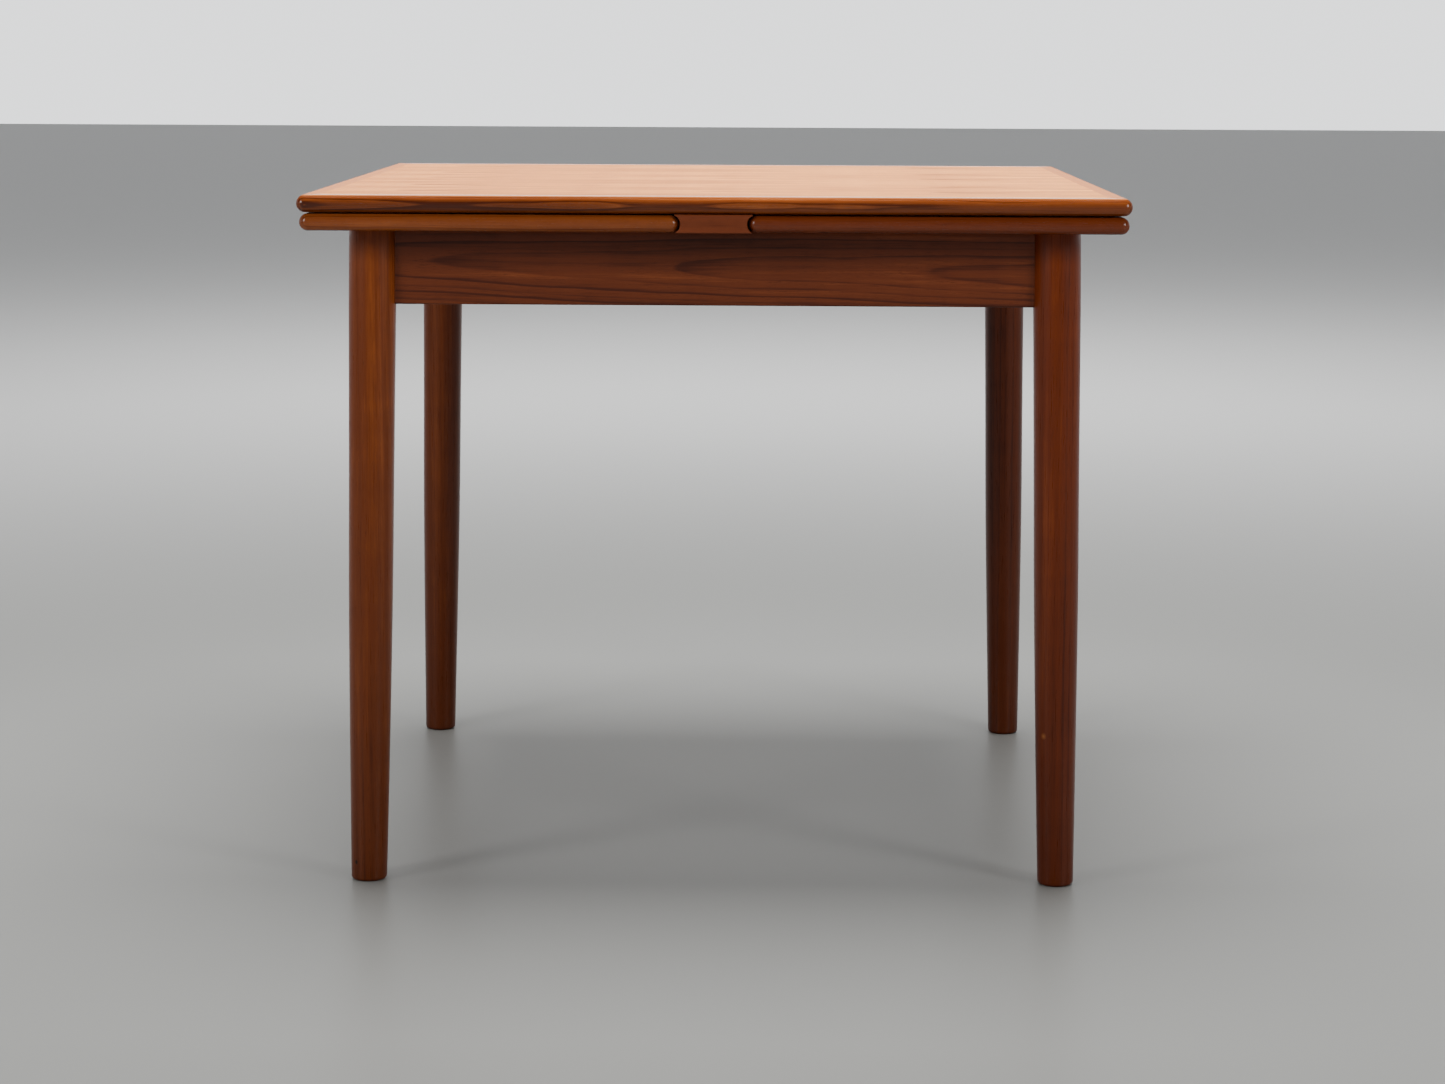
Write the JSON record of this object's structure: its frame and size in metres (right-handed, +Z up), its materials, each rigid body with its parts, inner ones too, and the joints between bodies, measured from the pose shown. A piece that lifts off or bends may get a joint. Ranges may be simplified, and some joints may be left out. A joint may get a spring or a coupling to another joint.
{
  "type": "draw-leaf table",
  "caption": "Square teak dining table with round tapered legs and two leaves that draw out from under a loose top.",
  "frame": {"origin": "on the floor under the middle of the closed table", "axes": "+X towards the right leaf, along which both leaves draw; +Y to the back; +Z up"},
  "size_m": [0.86, 0.86, 0.736],
  "materials": {
    "top_veneer": "satin oiled teak veneer, grain along X",
    "top_lipping": "satin oiled solid teak",
    "left_leaf_teak": "satin oiled teak veneer",
    "left_leaf_lipping": "satin oiled solid teak",
    "right_leaf_teak": "satin oiled teak veneer",
    "right_leaf_lipping": "satin oiled solid teak",
    "centre_teak": "satin oiled teak",
    "apron_teak": "satin oiled teak",
    "leg_teak": "satin oiled solid teak, turned",
    "beech": "plain sanded beech, matt",
    "screw_steel": "zinc plated, dulled"
  },
  "bodies": {
    "frame": {"left_draw_stop_front": "beech", "left_draw_stop_back": "beech", "right_draw_stop_front": "beech", "right_draw_stop_back": "beech", "centre_board": "centre_teak", "keeper_rail": "beech", "centre_board_screw_front": "screw_steel", "keeper_screw_front": "screw_steel", "leg_front_left": "leg_teak", "corner_block_front_left": "beech", "leg_front_right": "leg_teak", "corner_block_front_right": "beech", "centre_board_screw_back": "screw_steel", "keeper_screw_back": "screw_steel", "leg_back_left": "leg_teak", "corner_block_back_left": "beech", "leg_back_right": "leg_teak", "corner_block_back_right": "beech", "apron_front": "apron_teak", "apron_back": "apron_teak", "apron_left": "apron_teak", "apron_right": "apron_teak"},
    "main_top": {"top_panel": "top_veneer", "top_lipping_right": "top_lipping", "top_lipping_left": "top_lipping", "top_lipping_back": "top_lipping", "top_lipping_front": "top_lipping", "guide_peg_front": "beech", "guide_peg_back": "beech"},
    "left_tail_rests": {"left_tail_rest_front": "beech", "left_tail_rest_back": "beech"},
    "left_stop_dowels": {"left_stop_dowel_front": "beech", "left_stop_dowel_back": "beech"},
    "left_leaf": {"left_leaf_panel": "left_leaf_teak", "left_leaf_lipping_right": "left_leaf_lipping", "left_leaf_lipping_left": "left_leaf_lipping", "left_leaf_lipping_back": "left_leaf_lipping", "left_leaf_lipping_front": "left_leaf_lipping", "left_runner_front": "beech", "left_runner_screw_front_1": "screw_steel", "left_runner_screw_front_2": "screw_steel", "left_runner_back": "beech", "left_runner_screw_back_1": "screw_steel", "left_runner_screw_back_2": "screw_steel"},
    "right_tail_rests": {"right_tail_rest_front": "beech", "right_tail_rest_back": "beech"},
    "right_stop_dowels": {"right_stop_dowel_front": "beech", "right_stop_dowel_back": "beech"},
    "right_leaf": {"right_leaf_panel": "right_leaf_teak", "right_leaf_lipping_right": "right_leaf_lipping", "right_leaf_lipping_left": "right_leaf_lipping", "right_leaf_lipping_back": "right_leaf_lipping", "right_leaf_lipping_front": "right_leaf_lipping", "right_runner_front": "beech", "right_runner_screw_front_1": "screw_steel", "right_runner_screw_front_2": "screw_steel", "right_runner_back": "beech", "right_runner_screw_back_1": "screw_steel", "right_runner_screw_back_2": "screw_steel"}
  },
  "joints": [
    {"name": "left_climb", "type": "hinge", "parent": "frame", "child": "left_tail_rests", "pos_m": [0.333, 0, 0.6551], "axis": [0, 1, 0], "range_deg": [0, 2.78]},
    {"name": "left_draw", "type": "slide", "parent": "left_tail_rests", "child": "left_stop_dowels", "axis": [-1, 0, 0], "range_m": [0, 0.39527]},
    {"name": "left_level", "type": "hinge", "parent": "left_stop_dowels", "child": "left_leaf", "pos_m": [0.333, 0, 0.6551], "axis": [0, -1, 0], "range_deg": [0, 2.78]},
    {"name": "right_climb", "type": "hinge", "parent": "frame", "child": "right_tail_rests", "pos_m": [-0.333, 0, 0.6551], "axis": [0, -1, 0], "range_deg": [0, 2.78]},
    {"name": "right_draw", "type": "slide", "parent": "right_tail_rests", "child": "right_stop_dowels", "axis": [1, 0, 0], "range_m": [0, 0.39527]},
    {"name": "right_level", "type": "hinge", "parent": "right_stop_dowels", "child": "right_leaf", "pos_m": [-0.333, 0, 0.6551], "axis": [0, 1, 0], "range_deg": [0, 2.78]},
    {"name": "top_lift", "type": "slide", "parent": "frame", "child": "main_top", "axis": [0, 0, -1], "range_m": [-0.04, 0]}
  ],
  "couplings": [
    {"joint": "left_level", "follows": "left_climb", "ratio": 1},
    {"joint": "right_climb", "follows": "left_climb", "ratio": 1},
    {"joint": "right_level", "follows": "left_climb", "ratio": 1}
  ]
}
